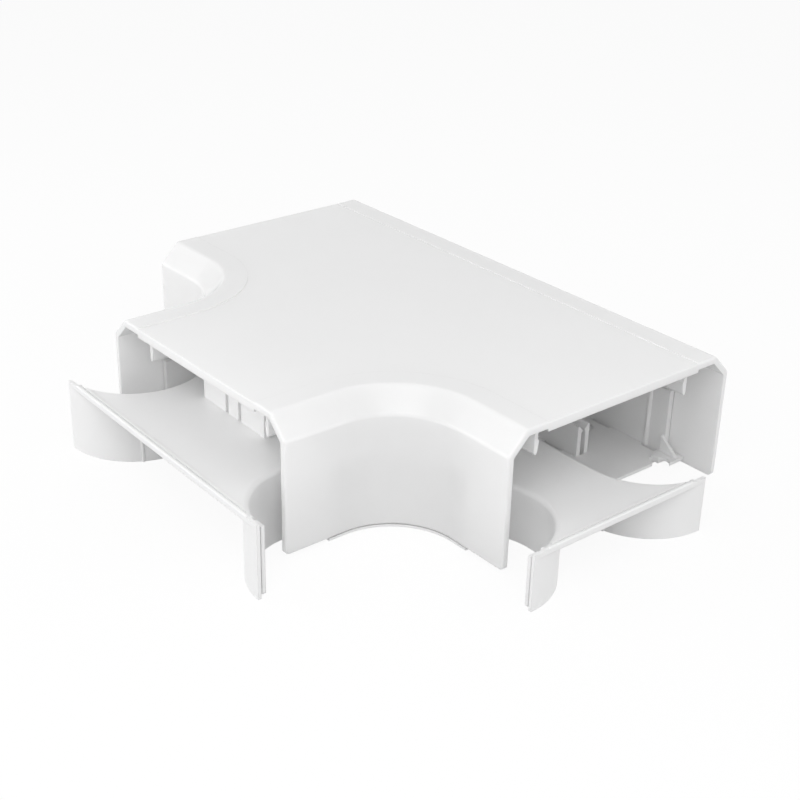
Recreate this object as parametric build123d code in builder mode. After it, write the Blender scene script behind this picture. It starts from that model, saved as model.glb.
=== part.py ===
"""Flat tee fitting for 105 x 50 mm wall trunking, in millimetres.

A moulded cover clips down over a moulded base. Two bridge inserts stand in the
mouths of the branch and of the right-hand run arm, each a plate on two flared
skirts that keep cables to a one-inch bend.

X runs along the straight run, the branch leaves towards -Y and +Z points away
from the wall. The origin is on the wall, where the run and branch centre lines
cross.
"""
import os
from math import cos, radians, sin, sqrt

from build123d import *

os.makedirs("parts", exist_ok=True)

# Cover
cover_width = 110.0
cover_height = 52.5
cover_wall = 2.4
cover_top = 2.6
corner_radius = 26.0        # outside of the two inner corner walls
run_stub = 25.7             # straight wall from each inner corner to a run mouth
branch_stub = 25.4          # the same to the branch mouth
edge_chamfer = 8.0
edge_rounding = 2.0         # where the chamfer meets the top and the walls
mouth_rounding = 0.8        # round the mouths and along the foot
mouth_corner_radius = 1.6   # where a mouth's edge turns into the foot
cover_lift = 1.2            # the cover stops this far above the wall
panel_width = 75.0          # centre panel of the top, along every arm
panel_sink = 0.3
panel_extra = 1.1           # how much thicker the panel is underneath

# Snap ribs under the cover
rib_setback = 5.2           # from the mouth
rib_length = 26.0
rib_thickness = 1.5
rib_depth = 12.1
rib_barb = 0.6

# Base
base_clearance = 0.3        # between the cover's walls and the base's walls
base_wall = 2.3
base_wall_top = 29.2
base_floor = 2.5
base_stub = 7.0             # the base's straight stub past each inner corner
foot_flange = 0.9           # thickness of the flange under the cover's walls
foot_recess = 0.4           # of the flange, behind the outside of the cover
end_rabbet_height = 1.2     # under the floor's ends
end_rabbet_depth = 3.0
rail_offset = 24.3          # divider rails, from each arm's centre line
rail_post = 2.0
rail_gap = 2.2
rail_height = 12.6
rail_barb = 0.7
rail_setback = 21.5         # of the long rail, from the base's end
short_rail = 18.5
short_rail_setback = 30.0
slot_width = 1.4            # of the slots through the floor
inner_slot = 10.0           # under the far wall
inner_slot_setback = 35.4   # of its middle, from the base's end
end_slot = 7.0
end_slot_setback = 9.8
rail_slot = 10.0            # beside the long rail
rail_slot_setback = 12.0    # of its middle, from the rail's end
gap_slot = 12.0             # between the long rail's posts, from the rail's end
bead_radius = 1.2
bead_rise = 0.8
bead_setback = 12.0         # from the base's end
far_wall_setback = 2.7      # of the far wall's ends, from the floor's ends
tongue_reach = 5.4
tongue_width = 8.1
tongue_thickness = 1.3
tongue_bite = 3.0
notch_width = 3.4
notch_depth = 3.6
gusset_height = 8.0
gusset_thickness = 1.5
screw_hole_radius = 2.5
screw_spacing_x = 104.0
screw_spacing_y = 85.0

# Bridge inserts
flare_radius = 26.0         # cables bend round this face
insert_skin = 2.2
plate_skin = 1.9
insert_rounding = 1.8
branch_insert_height = 28.2
branch_insert_pitch = 128.4  # between the centres of the two flares
branch_insert_shift = 5.2    # the insert lies a little off the branch centre line
branch_insert_turn = -1.3    # and a little askew
branch_insert_overhang = 19.9
branch_flare_past_waist = 35.0
branch_fork_reach = -0.7     # of the tips, past the flares' centres
branch_bead_angle = 26.0     # from the waist towards the tip
run_insert_height = 21.5
run_insert_pitch = 82.2
run_insert_shift = -20.9
run_insert_overhang = 21.9
run_flare_past_waist = 60.0
run_fork_reach = 0.3
run_bead_angle = 15.0
run_insert_length = 64.6
run_near_width = 24.4       # of the plate's straight part, from its centre line
rim_width = 2.8
rim_rise = 0.4
rim_groove = 0.5
rim_rounding = 0.6
fork_thickness = 4.3
fork_leaf = 1.3
fork_slot = 1.6
fork_depth = 4.5
fork_block = 6.0
back_leaf_drop = 2.6
back_leaf_setback = 1.3
skirt_bead = 0.6
upstand_width = 40.0
upstand_height = 9.0
upstand_thickness = 2.0
upstand_setback = 34.2      # from the outer edge
upstand_shift = -3.2
upstand_slot = 1.8
upstand_slot_pitch = 8.4

# Places that follow from the sizes above
cover_half = cover_width / 2
corner_centre = cover_half + corner_radius
run_reach = corner_centre + run_stub
branch_reach = corner_centre + branch_stub
base_half = cover_half - cover_wall - base_clearance
base_reach = corner_centre + base_stub
past_mouth = 10.0
underside = cover_height - cover_top


def tee_outline(half_width, run_end, branch_end):
    """A tee in plan whose inner corners are round about the corner centres."""
    with BuildSketch(mode=Mode.PRIVATE) as outline:
        Rectangle(2 * run_end, 2 * half_width)
        with Locations((0, -branch_end / 2)):
            Rectangle(2 * half_width, branch_end)
        inner = [v for v in outline.vertices()
                 if abs(abs(v.X) - half_width) < 0.01 and abs(v.Y + half_width) < 0.01]
        fillet(inner, corner_centre - half_width)
    return outline.sketch


def along_walls(edges):
    """Leaves out the edges that lie in the three mouths."""
    return [e for e in edges
            if abs(abs(e.center().X) - run_reach) > 0.01 and abs(e.center().Y + branch_reach) > 0.01]


def in_mouths(edges):
    """The edges that lie in the three mouths."""
    return [e for e in edges
            if abs(abs(e.center().X) - run_reach) < 0.01 or abs(e.center().Y + branch_reach) < 0.01]


# Each arm's mouth plane: its local x runs across the arm, its local y is up
def mouth_plane(arm, distance):
    """The plane across an arm at a distance from the centre, facing outwards."""
    if arm == "right":
        return Plane(origin=(distance, 0, 0), x_dir=(0, 1, 0), z_dir=(1, 0, 0))
    if arm == "left":
        return Plane(origin=(-distance, 0, 0), x_dir=(0, -1, 0), z_dir=(-1, 0, 0))
    return Plane(origin=(0, -distance, 0), x_dir=(1, 0, 0), z_dir=(0, -1, 0))


arm_reach = {"right": run_reach, "left": run_reach, "branch": branch_reach}


# The hollow of the cover, with the same wall behind the chamfers
hollow_half = cover_half - cover_wall
hollow_chamfer = edge_chamfer - cover_wall - cover_top + cover_wall * sqrt(2)
with BuildPart() as cover_hollow:
    with BuildSketch():
        add(tee_outline(hollow_half, run_reach + past_mouth, branch_reach + past_mouth))
    extrude(amount=underside)
    hollow_top = cover_hollow.faces().sort_by(Axis.Z)[-1]
    chamfer([e for e in hollow_top.edges()
             if abs(e.center().X) < run_reach + 1 and e.center().Y > -branch_reach - 1],
            hollow_chamfer)


with BuildPart() as tee_cover:
    with BuildSketch(Plane.XY.offset(cover_lift)):
        add(tee_outline(cover_half, run_reach, branch_reach))
    extrude(amount=cover_height - cover_lift)
    chamfer(along_walls(tee_cover.faces().sort_by(Axis.Z)[-1].edges()), edge_chamfer)
    long_edges = [e for e in along_walls(tee_cover.edges())
                  if min(abs(e.center().Z - z) for z in (cover_height, cover_height - edge_chamfer)) < 0.01]
    fillet(long_edges, edge_rounding)
    fillet([e for e in in_mouths(tee_cover.edges()) if e.center().Z < cover_lift + 0.01], mouth_corner_radius)
    fillet([e for e in in_mouths(tee_cover.edges()) if e.center().Z > cover_lift + mouth_corner_radius + 0.01],
           mouth_rounding)
    add(cover_hollow.part, mode=Mode.SUBTRACT)

    # the centre panel: a shallow sink above and a step below
    with BuildSketch(Plane.XY.offset(cover_height - panel_sink)):
        add(tee_outline(panel_width / 2, run_reach + past_mouth, branch_reach + past_mouth))
    extrude(amount=2 * panel_sink, mode=Mode.SUBTRACT)
    with BuildSketch(Plane.XY.offset(underside - panel_extra)):
        add(tee_outline(panel_width / 2, run_reach, branch_reach))
    extrude(amount=panel_extra + panel_sink)

    for arm, reach in arm_reach.items():
        # two barbed snap ribs hang along the edges of the panel
        with BuildSketch(mouth_plane(arm, reach - rib_setback)):
            for side in (-1, 1):
                root = panel_width / 2 * side
                face = rib_thickness / 2 * side
                tip = underside - rib_depth
                barb = tip + 0.42 * rib_depth
                with BuildLine():
                    Polyline(
                        (root + face, underside + panel_sink),
                        (root + face, tip + rib_thickness / 2),
                        (root + face / 3, tip),
                        (root - face / 3, tip),
                        (root - face, tip + rib_thickness / 2),
                        (root - face - rib_barb * side, barb),
                        (root - face, barb + rib_barb),
                        (root - face, underside + panel_sink),
                        close=True,
                    )
                make_face()
        extrude(amount=-rib_length)

tee_cover.part.label = "tee_cover"
export_step(tee_cover.part, "parts/tee_cover.step")


def rail_profile():
    """Two posts whose barbs face each other across the divider's gap."""
    top = base_floor + rail_height
    with BuildSketch(mode=Mode.PRIVATE) as profile:
        for side in (-1, 1):
            near = rail_gap / 2 * side
            far = (rail_gap / 2 + rail_post) * side
            with BuildLine():
                Polyline(
                    (near, base_floor / 2),
                    (far, base_floor / 2),
                    (far, top),
                    (far - rail_post / 3 * side, top),
                    (near - rail_barb * side, top - rail_height / 6),
                    (near, top - rail_height / 4),
                    close=True,
                )
            make_face()
    return profile.sketch


rail_end = base_reach - rail_setback
far_face = base_half - base_wall
with BuildPart() as tee_base:
    with BuildSketch():
        add(tee_outline(cover_half - foot_recess, base_reach, base_reach))
    extrude(amount=foot_flange)
    with BuildSketch():
        add(tee_outline(base_half, base_reach, base_reach))
    extrude(amount=base_wall_top)
    with BuildSketch(Plane.XY.offset(base_floor)):
        add(tee_outline(far_face, base_reach + past_mouth, base_reach + past_mouth))
    extrude(amount=base_wall_top, mode=Mode.SUBTRACT)

    # a rabbet under each end of the floor
    for arm in arm_reach:
        with BuildSketch(mouth_plane(arm, base_reach - end_rabbet_depth)):
            with Locations((0, end_rabbet_height / 2)):
                Rectangle(2 * far_face, end_rabbet_height)
        extrude(amount=end_rabbet_depth, mode=Mode.SUBTRACT)

    # the far wall stops short of the floor's ends
    with BuildSketch(Plane.XY.offset(base_floor)):
        for side in (-1, 1):
            with Locations((side * (base_reach - far_wall_setback / 2), base_half)):
                Rectangle(far_wall_setback, 3 * base_wall)
    extrude(amount=base_wall_top, mode=Mode.SUBTRACT)

    # divider rails: one right along the far side, short ones at every other mouth
    short_end = base_reach - short_rail_setback
    rails = [("right", rail_offset, rail_end, 2 * rail_end)]
    rails += [("right", -rail_offset, short_end, short_rail), ("left", rail_offset, short_end, short_rail)]
    rails += [("branch", side * rail_offset, short_end, short_rail) for side in (-1, 1)]
    for arm, across, end, length in rails:
        with BuildSketch(mouth_plane(arm, end)):
            with Locations((across, 0)):
                add(rail_profile())
        extrude(amount=-length)

    # slots through the floor: under the far wall, beside the long rail and between its posts
    rail_foot = rail_offset - rail_gap / 2 - rail_post
    with BuildSketch(Plane.XY):
        for side in (-1, 1):
            for setback, length in ((inner_slot_setback, inner_slot), (end_slot_setback, end_slot)):
                with Locations((side * (base_reach - setback), far_face - slot_width / 2)):
                    Rectangle(length, slot_width)
            with Locations((side * (rail_end - rail_slot_setback), rail_foot - slot_width / 2)):
                Rectangle(rail_slot, slot_width)
            with Locations((side * (rail_end - gap_slot / 2), rail_offset)):
                Rectangle(gap_slot, rail_gap)
    extrude(amount=base_floor, mode=Mode.SUBTRACT)

    # screw holes to the wall
    with GridLocations(screw_spacing_x, screw_spacing_y, 2, 2):
        Hole(screw_hole_radius)

    # a half-round bead stiffens the far wall near each end
    with Locations([(side * (base_reach - bead_setback), far_face + bead_radius - bead_rise, base_floor)
                    for side in (-1, 1)]):
        Cylinder(bead_radius, base_wall_top - base_floor,
                 align=(Align.CENTER, Align.CENTER, Align.MIN))

    # a notched tongue and its gusset at each end of the far wall: the tongue lies
    # over the trunking's own floor
    tongue_near = base_half - tongue_width
    for side in (-1, 1):
        with BuildSketch(Plane.XY):
            with BuildLine():
                Polyline(
                    (side * (base_reach + 1), tongue_near - notch_width),
                    (side * (base_reach - notch_depth / 3), tongue_near - notch_width),
                    (side * (base_reach - notch_depth), tongue_near - notch_width / 3),
                    (side * (base_reach - notch_depth), tongue_near),
                    (side * (base_reach + 1), tongue_near),
                    close=True,
                )
            make_face()
        extrude(amount=base_floor, mode=Mode.SUBTRACT)
        with BuildSketch(Plane.XY.offset(base_floor)):
            with Locations((side * (base_reach + (tongue_reach - notch_depth) / 2), base_half - tongue_width / 2)):
                Rectangle(tongue_reach + notch_depth, tongue_width)
            with Locations((side * (base_reach + tongue_reach / 2), tongue_near - 0.42 * tongue_bite)):
                Circle(tongue_bite, mode=Mode.SUBTRACT)
        extrude(amount=tongue_thickness)
        with BuildSketch(Plane.XZ.offset(-far_face)):
            with BuildLine():
                Polyline(
                    (side * (base_reach - notch_depth), base_floor / 2),
                    (side * (base_reach - notch_depth), base_floor + gusset_height),
                    (side * (base_reach + tongue_reach - 1), base_floor + tongue_thickness),
                    (side * (base_reach + tongue_reach - 1), base_floor + tongue_thickness / 2),
                    (side * (base_reach - notch_depth / 2), base_floor + tongue_thickness / 2),
                    (side * (base_reach - notch_depth / 2), base_floor / 2),
                    close=True,
                )
            make_face()
        extrude(amount=gusset_thickness)

tee_base.part.label = "tee_base"
export_step(tee_base.part, "parts/tee_base.step")


# Bridge inserts, drawn with the outer edge on local y = 0, the inside of the tee
# towards +y and the plate's centre line on x = 0
flare_outer = flare_radius + insert_skin


def skirt_outline(pitch, side, past_waist, bead_angle):
    """One flared skirt in plan: a ring about its centre, from the tip to past the waist."""
    centre = (side * pitch / 2, flare_outer)
    start = -90 if side < 0 else 180 - past_waist
    turn = radians(bead_angle)
    bead = (centre[0] - side * flare_outer * cos(turn), flare_outer - flare_outer * sin(turn))
    with BuildSketch(mode=Mode.PRIVATE) as ring:
        with BuildLine():
            outer = CenterArc(centre, flare_outer, start, 90 + past_waist)
            inner = CenterArc(centre, flare_radius, start, 90 + past_waist)
            Line(outer @ 0, inner @ 0)
            Line(outer @ 1, inner @ 1)
        make_face()
        with Locations(bead):
            Circle(skirt_bead)
        with Locations(centre):
            Circle(flare_radius, mode=Mode.SUBTRACT)
    return ring.sketch


def fork_blocks(pitch, reach):
    """The thickened tips, whose front follows the flare."""
    with BuildSketch(mode=Mode.PRIVATE) as blocks:
        for side in (-1, 1):
            with BuildSketch(mode=Mode.PRIVATE) as block:
                with Locations((side * (pitch / 2 + reach - fork_block / 2), fork_thickness / 2)):
                    Rectangle(fork_block, fork_thickness)
                with Locations((side * pitch / 2, flare_outer)):
                    Circle(flare_outer, mode=Mode.INTERSECT)
            add(block.sketch)
    return blocks.sketch


def fork_slots(pitch, reach):
    """The slots that take a trunking wall's edge, and the back leaves' shorter tips."""
    with BuildSketch(mode=Mode.PRIVATE) as slots:
        for side in (-1, 1):
            tip = side * (pitch / 2 + reach)
            with Locations((tip - side * fork_depth / 2 + side, fork_leaf + fork_slot / 2)):
                Rectangle(fork_depth + 2, fork_slot)
            with Locations((tip, fork_thickness)):
                Rectangle(2 * back_leaf_setback, 2 * (fork_thickness - fork_leaf))
    return slots.sketch


def back_leaves(pitch, reach):
    """Over the back leaves, which end lower than the plate."""
    with BuildSketch(mode=Mode.PRIVATE) as backs:
        for side in (-1, 1):
            with Locations((side * (pitch / 2 + reach - fork_block / 2), fork_thickness)):
                Rectangle(fork_block + 1, 2 * (fork_leaf + fork_slot / 2))
    return backs.sketch


def rim_outline(pitch):
    """The double ridge along the outer edge."""
    with BuildSketch(mode=Mode.PRIVATE) as rim:
        with Locations((0, rim_width / 2)):
            Rectangle(pitch - 2 * fork_block, rim_width)
            Rectangle(pitch - 2 * fork_block, rim_groove, mode=Mode.SUBTRACT)
        for side in (-1, 1):
            with Locations((side * pitch / 2, flare_outer)):
                Circle(flare_radius + insert_rounding, mode=Mode.SUBTRACT)
    return rim.sketch


# Branch insert: waisted alike on both sides, with a slotted upstand behind the mouth
branch_length = flare_outer + flare_outer * sin(radians(branch_flare_past_waist))
with BuildPart() as branch_blank:
    with BuildSketch():
        for side in (-1, 1):
            add(skirt_outline(branch_insert_pitch, side, branch_flare_past_waist, branch_bead_angle))
    extrude(amount=branch_insert_height)
    with BuildSketch(Plane.XY.offset(branch_insert_height - plate_skin)):
        with Locations((0, branch_length / 2)):
            Rectangle(branch_insert_pitch, branch_length)
        for side in (-1, 1):
            with Locations((side * branch_insert_pitch / 2, flare_outer)):
                Circle(flare_radius, mode=Mode.SUBTRACT)
    extrude(amount=plate_skin)
    flare_edges = [e for e in branch_blank.edges().filter_by(GeomType.CIRCLE)
                   if abs(e.center().Z - branch_insert_height) < 0.01 and abs(e.radius - flare_radius) < 0.01]
    fillet(flare_edges, insert_rounding)
    with BuildSketch(Plane.XY.offset(branch_insert_height)):
        add(rim_outline(branch_insert_pitch))
    extrude(amount=rim_rise)
    fillet([e for e in branch_blank.edges().filter_by(GeomType.LINE)
            if abs(e.center().Y) < 0.01 and abs(e.center().Z - branch_insert_height - rim_rise) < 0.01],
           rim_rounding)
    with BuildSketch():
        add(fork_blocks(branch_insert_pitch, branch_fork_reach))
    extrude(amount=branch_insert_height)
    with BuildSketch():
        add(fork_slots(branch_insert_pitch, branch_fork_reach))
    extrude(amount=branch_insert_height + rim_rise, mode=Mode.SUBTRACT)
    with BuildSketch(Plane.XY.offset(branch_insert_height - back_leaf_drop)):
        add(back_leaves(branch_insert_pitch, branch_fork_reach))
    extrude(amount=back_leaf_drop + rim_rise, mode=Mode.SUBTRACT)
    with BuildSketch(Plane.XY.offset(branch_insert_height)):
        with Locations((upstand_shift, upstand_setback + upstand_thickness / 2)):
            Rectangle(upstand_width, upstand_thickness)
            with GridLocations(upstand_slot_pitch, 1, 2, 1):
                Rectangle(upstand_slot, upstand_thickness, mode=Mode.SUBTRACT)
    extrude(amount=upstand_height)

branch_edge = branch_reach + branch_insert_overhang
with BuildPart() as branch_insert:
    with Locations(Location((branch_insert_shift, -branch_edge, 0), (0, 0, branch_insert_turn))):
        add(branch_blank.part)
    # the skirts step up onto the base's floor
    with BuildSketch():
        with Locations((0, -base_reach / 2)):
            Rectangle(2 * cover_width, base_reach)
    extrude(amount=base_floor, mode=Mode.SUBTRACT)

branch_insert.part.label = "branch_insert"
export_step(branch_insert.part, "parts/branch_insert.step")


# Run insert: flared on its near side, straight on its far side past the flare
run_far_width = run_insert_pitch / 2 - flare_radius
with BuildPart() as run_blank:
    with BuildSketch():
        add(skirt_outline(run_insert_pitch, -1, run_flare_past_waist, run_bead_angle))
        add(skirt_outline(run_insert_pitch, 1, 0, run_bead_angle))
        with Locations((run_far_width - insert_skin / 2, (flare_outer + run_insert_length) / 2)):
            Rectangle(insert_skin, run_insert_length - flare_outer)
    extrude(amount=run_insert_height)
    with BuildSketch(Plane.XY.offset(run_insert_height - plate_skin)):
        with Locations((0, flare_outer / 2)):
            Rectangle(run_insert_pitch, flare_outer)
        with Locations(((run_far_width - run_near_width) / 2, (flare_outer + run_insert_length) / 2)):
            Rectangle(run_far_width + run_near_width, run_insert_length - flare_outer)
        for side in (-1, 1):
            with Locations((side * run_insert_pitch / 2, flare_outer)):
                Circle(flare_radius, mode=Mode.SUBTRACT)
    extrude(amount=plate_skin)
    flare_edges = [e for e in run_blank.edges().filter_by(GeomType.CIRCLE)
                   if abs(e.center().Z - run_insert_height) < 0.01 and abs(e.radius - flare_radius) < 0.01]
    far_edges = [e for e in run_blank.edges().filter_by(GeomType.LINE)
                 if abs(e.center().Z - run_insert_height) < 0.01 and abs(e.center().X - run_far_width) < 0.01]
    fillet(flare_edges + far_edges, insert_rounding)
    with BuildSketch(Plane.XY.offset(run_insert_height)):
        add(rim_outline(run_insert_pitch))
    extrude(amount=rim_rise)
    fillet([e for e in run_blank.edges().filter_by(GeomType.LINE)
            if abs(e.center().Y) < 0.01 and abs(e.center().Z - run_insert_height - rim_rise) < 0.01],
           rim_rounding)
    with BuildSketch():
        add(fork_blocks(run_insert_pitch, run_fork_reach))
    extrude(amount=run_insert_height)
    with BuildSketch():
        add(fork_slots(run_insert_pitch, run_fork_reach))
    extrude(amount=run_insert_height + rim_rise, mode=Mode.SUBTRACT)
    with BuildSketch(Plane.XY.offset(run_insert_height - back_leaf_drop)):
        add(back_leaves(run_insert_pitch, run_fork_reach))
    extrude(amount=back_leaf_drop + rim_rise, mode=Mode.SUBTRACT)

run_edge = run_reach + run_insert_overhang
with BuildPart() as run_insert:
    with Locations(Location((run_edge, run_insert_shift, 0), (0, 0, 90))):
        add(run_blank.part)
    with BuildSketch():
        with Locations((base_reach / 2, 0)):
            Rectangle(base_reach, 2 * cover_width)
    extrude(amount=base_floor, mode=Mode.SUBTRACT)

run_insert.part.label = "run_insert"
export_step(run_insert.part, "parts/run_insert.step")
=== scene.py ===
from math import cos, radians, sin

import bpy
from mathutils import Matrix, Vector

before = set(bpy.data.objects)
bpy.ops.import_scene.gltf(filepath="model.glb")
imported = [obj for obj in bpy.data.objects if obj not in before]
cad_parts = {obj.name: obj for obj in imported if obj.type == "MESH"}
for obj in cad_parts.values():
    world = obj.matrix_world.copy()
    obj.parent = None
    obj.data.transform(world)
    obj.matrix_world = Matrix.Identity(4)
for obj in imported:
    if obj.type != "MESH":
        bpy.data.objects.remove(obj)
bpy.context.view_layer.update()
scene = bpy.context.scene


# Camera
# A product photograph of a fitting that lies on a table, taken from above its near
# corner, with the branch to the left and one end of the run to the right.
mm = 0.001
view_azimuth = radians(49.04)
view_elevation = radians(26.96)
view_roll = radians(1.86)
view_distance = 595.4
aim_point = Vector((0, 0, 1.2))
sensor_width = 36
lens_length = 65.95
frame_shift = (-0.0275, 0.0143)     # the fitting stands a little off the photo's middle
nearest_seen = 10.0

back = Vector((sin(view_azimuth) * cos(view_elevation),
               -cos(view_azimuth) * cos(view_elevation),
               sin(view_elevation)))
level = Vector((cos(view_azimuth), sin(view_azimuth), 0))
above = back.cross(level)
right = level * cos(view_roll) + above * sin(view_roll)
up = above * cos(view_roll) - level * sin(view_roll)
camera = bpy.data.objects.new("camera", bpy.data.cameras.new("camera"))
turn = Matrix((right, up, back)).transposed().to_4x4()
camera.matrix_world = Matrix.Translation((aim_point + back * view_distance) * mm) @ turn
camera.data.sensor_width = sensor_width
camera.data.lens = lens_length
camera.data.shift_x, camera.data.shift_y = frame_shift
camera.data.clip_start = nearest_seen * mm
scene.collection.objects.link(camera)
scene.camera = camera
scene.view_settings.view_transform = "Standard"


# Light tent
# White fabric all round, brightest at the table's height and darker overhead, with
# softboxes overhead, in front, to the left and to the right of the camera.
tent_white = "#ffffff"
tent_side_level = 1.0
tent_top_level = 0.3
tent_top_height = 0.8       # the sine of the angle above the table from which it is darkest


def linear(code):
    """An sRGB hex colour as linear red, green, blue and alpha."""
    parts = [int(code[i:i + 2], 16) / 255 for i in (1, 3, 5)]
    light = (v / 12.92 if v <= 0.04045 else ((v + 0.055) / 1.055) ** 2.4 for v in parts)
    return (*light, 1.0)


def add_node(tree, kind, links=None, **settings):
    """Adds a node, sets its properties or input values by name, and links its inputs."""
    node = tree.nodes.new(kind)
    for name, value in settings.items():
        if hasattr(node, name):
            setattr(node, name, value)
        else:
            node.inputs[name.replace("_", " ")].default_value = value
    for name, source in (links or {}).items():
        tree.links.new(source, node.inputs[name])
    return node


def rays_that_see_white(tree):
    """One for camera, glossy and transmission rays, and nought for the rest."""
    path = add_node(tree, "ShaderNodeLightPath")
    seen = path.outputs["Is Camera Ray"]
    for kind in ("Is Glossy Ray", "Is Transmission Ray"):
        either = add_node(tree, "ShaderNodeMath", {0: seen, 1: path.outputs[kind]},
                          operation="MAXIMUM")
        seen = either.outputs[0]
    return seen


tent = bpy.data.worlds.new("light tent")
scene.world = tent
tent.use_nodes = True
tree = tent.node_tree
tree.nodes.clear()
direction = add_node(tree, "ShaderNodeTexCoord")
height = add_node(tree, "ShaderNodeSeparateXYZ", {"Vector": direction.outputs["Generated"]})
level_of_light = add_node(tree, "ShaderNodeMapRange", {"Value": height.outputs["Z"]},
                          From_Min=0.0, From_Max=tent_top_height,
                          To_Min=tent_side_level, To_Max=tent_top_level)
fabric = add_node(tree, "ShaderNodeBackground", {"Strength": level_of_light.outputs["Result"]},
                  Color=linear(tent_white))
white = add_node(tree, "ShaderNodeBackground", Color=linear(tent_white), Strength=1.0)
mixed = add_node(tree, "ShaderNodeMixShader",
                 {0: rays_that_see_white(tree), 1: fabric.outputs[0], 2: white.outputs[0]})
add_node(tree, "ShaderNodeOutputWorld", {"Surface": mixed.outputs[0]})

softboxes = (
    # name, place, the point that it faces, side, watts
    ("overhead softbox", (-60, 90, 620), (0, 0, 20), 600, 0.5),
    ("front softbox", (341, -353, 442), (0, 0, 25), 500, 1.5),
    ("left softbox", (-387, -461, 219), (0, 0, 25), 500, 1.05),
    ("right softbox", (444, 373, 270), (0, 0, 25), 500, 0.5),
)
for name, place, faced_point, side, watts in softboxes:
    softbox = bpy.data.objects.new(name, bpy.data.lights.new(name, "AREA"))
    softbox.data.shape = "SQUARE"
    softbox.data.size = side * mm
    softbox.data.energy = watts
    softbox.location = Vector(place) * mm
    beam = Vector(faced_point) - Vector(place)
    softbox.rotation_euler = beam.to_track_quat("-Z", "Y").to_euler()
    scene.collection.objects.link(softbox)


# Table
# A sheet of matt white paper under the fitting. It shows white to the camera and
# keeps a faint shadow at the fitting's foot.
sheet_size = 6000.0
sheet_drop = 0.02           # below the wall plane, so that the two don't share a face
paper_white = "#d4d4d4"
paper_glow_white = "#ffffff"
paper_glow = 1.06
paper_glow_share = 0.86     # the rest keeps the fitting's shadow

half = sheet_size * mm / 2
sheet_mesh = bpy.data.meshes.new("table sheet")
sheet_corners = [(-half, -half, 0), (half, -half, 0), (half, half, 0), (-half, half, 0)]
sheet_mesh.from_pydata(sheet_corners, [], [(0, 1, 2, 3)])
table_sheet = bpy.data.objects.new("table_sheet", sheet_mesh)
table_sheet.location.z = -sheet_drop * mm
scene.collection.objects.link(table_sheet)

matt_paper = bpy.data.materials.new("Matt white paper")
matt_paper.use_nodes = True
tree = matt_paper.node_tree
tree.nodes.clear()
paper = add_node(tree, "ShaderNodeBsdfDiffuse", Color=linear(paper_white))
glow = add_node(tree, "ShaderNodeEmission", Color=linear(paper_glow_white),
                Strength=paper_glow)
share = add_node(tree, "ShaderNodeMath", {0: rays_that_see_white(tree)}, operation="MULTIPLY")
share.inputs[1].default_value = paper_glow_share
mixed = add_node(tree, "ShaderNodeMixShader",
                 {0: share.outputs[0], 1: paper.outputs[0], 2: glow.outputs[0]})
add_node(tree, "ShaderNodeOutputMaterial", {"Surface": mixed.outputs[0]})
sheet_mesh.materials.append(matt_paper)


# Base
# The shallow tray behind the cover, screwed to the wall: injection-moulded white ABS
# from a tool that is little polished, so it shows a softer gloss than the cover.
base_white = "#f8f8f8"
base_flow_white = "#f5f5f5"
base_roughness = 0.34
base_edge = 0.3

abs_ior = 1.53
flow_mark_length = 40.0
polish_patch = 10.0
polish_range = (-0.03, 0.04)    # of the roughness
ripple_length = 20.0
ripple_depth = 0.15
ripple_strength = 0.35
grain_size = 0.625
grain_depth = 0.01
grain_strength = 0.2


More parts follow.
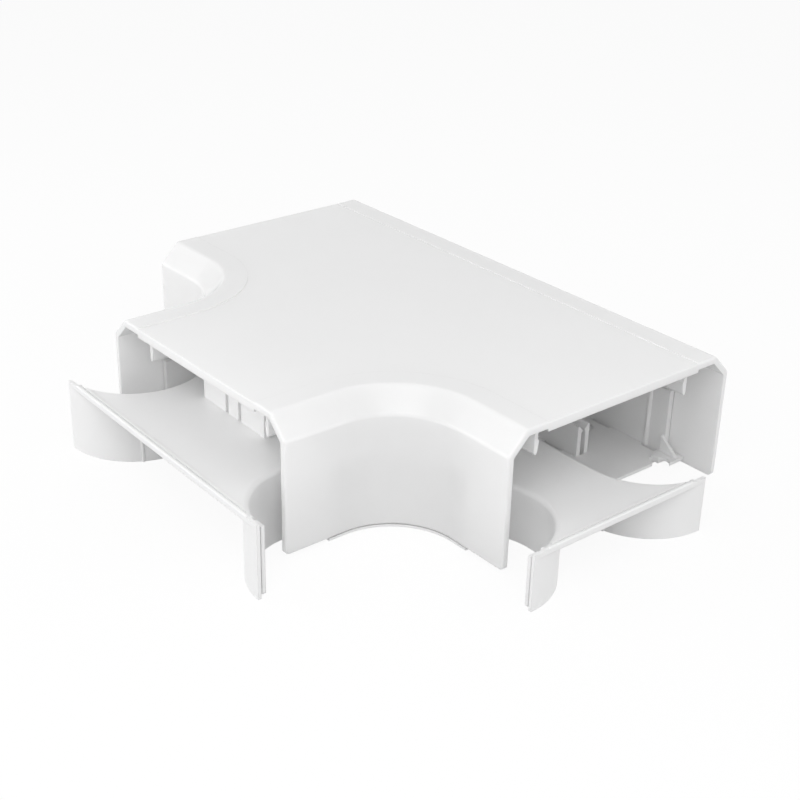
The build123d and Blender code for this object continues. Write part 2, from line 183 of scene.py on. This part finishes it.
def moulded_abs(name, colour, flow_colour, roughness, edge, scatter=0.0, scatter_depth=0.0):
    """White moulded ABS: gloss from the tool, faint flow marks and softly broken edges."""
    material = bpy.data.materials.new(name)
    material.use_nodes = True
    tree = material.node_tree
    tree.nodes.clear()
    place = add_node(tree, "ShaderNodeTexCoord").outputs["Object"]
    # flow marks from the gate, barely darker than the rest
    flow = add_node(tree, "ShaderNodeTexNoise", {"Vector": place},
                    Scale=1 / (flow_mark_length * mm), Detail=2.0)
    tint = add_node(tree, "ShaderNodeMix", {0: flow.outputs["Fac"]}, data_type="RGBA",
                    A=linear(colour), B=linear(flow_colour))
    # the tool's polish is a little uneven
    polish = add_node(tree, "ShaderNodeTexNoise", {"Vector": place},
                      Scale=1 / (polish_patch * mm), Detail=3.0)
    gloss = add_node(tree, "ShaderNodeMapRange", {"Value": polish.outputs["Fac"]},
                     To_Min=roughness + polish_range[0], To_Max=roughness + polish_range[1])
    # shrinkage leaves a soft ripple, and the tool a fine grain, coarser here than the real one
    ripple = add_node(tree, "ShaderNodeTexNoise", {"Vector": place},
                      Scale=1 / (ripple_length * mm), Detail=1.0)
    grain = add_node(tree, "ShaderNodeTexNoise", {"Vector": place},
                     Scale=1 / (grain_size * mm), Detail=1.0)
    rounded = add_node(tree, "ShaderNodeBevel", samples=4, Radius=edge * mm)
    rippled = add_node(tree, "ShaderNodeBump",
                       {"Height": ripple.outputs["Fac"], "Normal": rounded.outputs[0]},
                       Strength=ripple_strength, Distance=ripple_depth * mm)
    grained = add_node(tree, "ShaderNodeBump",
                       {"Height": grain.outputs["Fac"], "Normal": rippled.outputs[0]},
                       Strength=grain_strength, Distance=grain_depth * mm)
    shader = add_node(tree, "ShaderNodeBsdfPrincipled",
                      {"Base Color": tint.outputs["Result"],
                       "Roughness": gloss.outputs["Result"],
                       "Normal": grained.outputs[0]},
                      IOR=abs_ior, Subsurface_Weight=scatter,
                      Subsurface_Radius=(1, 1, 1), Subsurface_Scale=scatter_depth * mm)
    add_node(tree, "ShaderNodeOutputMaterial", {"Surface": shader.outputs[0]})
    return material


def dress(node, material):
    """Gives a CAD node its finish."""
    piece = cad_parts[node]
    piece.data.materials.clear()
    piece.data.materials.append(material)


base_abs = moulded_abs("Satin white ABS, moulded in a plain tool",
                       base_white, base_flow_white, base_roughness, base_edge)
dress("tee_base", base_abs)


# Bridge inserts
# Two loose bridges that stand in the mouths, injection-moulded in the same white ABS
# with a fair gloss, whose flared skirts keep the cables to a wide bend.
insert_white = "#f8f8f8"
insert_flow_white = "#f5f5f5"
insert_roughness = 0.32
insert_edge = 0.3

insert_abs = moulded_abs("Gloss white ABS, moulded bridge",
                         insert_white, insert_flow_white, insert_roughness, insert_edge)
dress("branch_insert", insert_abs)
dress("run_insert", insert_abs)


# Cover
# The tee's clip-on cover: one injection moulding in white ABS from a polished tool.
# Its gloss is clear, and its thin walls let a little light through.
cover_white = "#f8f8f8"
cover_flow_white = "#f5f5f5"
cover_roughness = 0.22
cover_edge = 0.15
cover_scatter = 0.5
cover_scatter_depth = 6.0

cover_abs = moulded_abs("Gloss white ABS, moulded in a polished tool",
                        cover_white, cover_flow_white, cover_roughness, cover_edge,
                        cover_scatter, cover_scatter_depth)
dress("tee_cover", cover_abs)
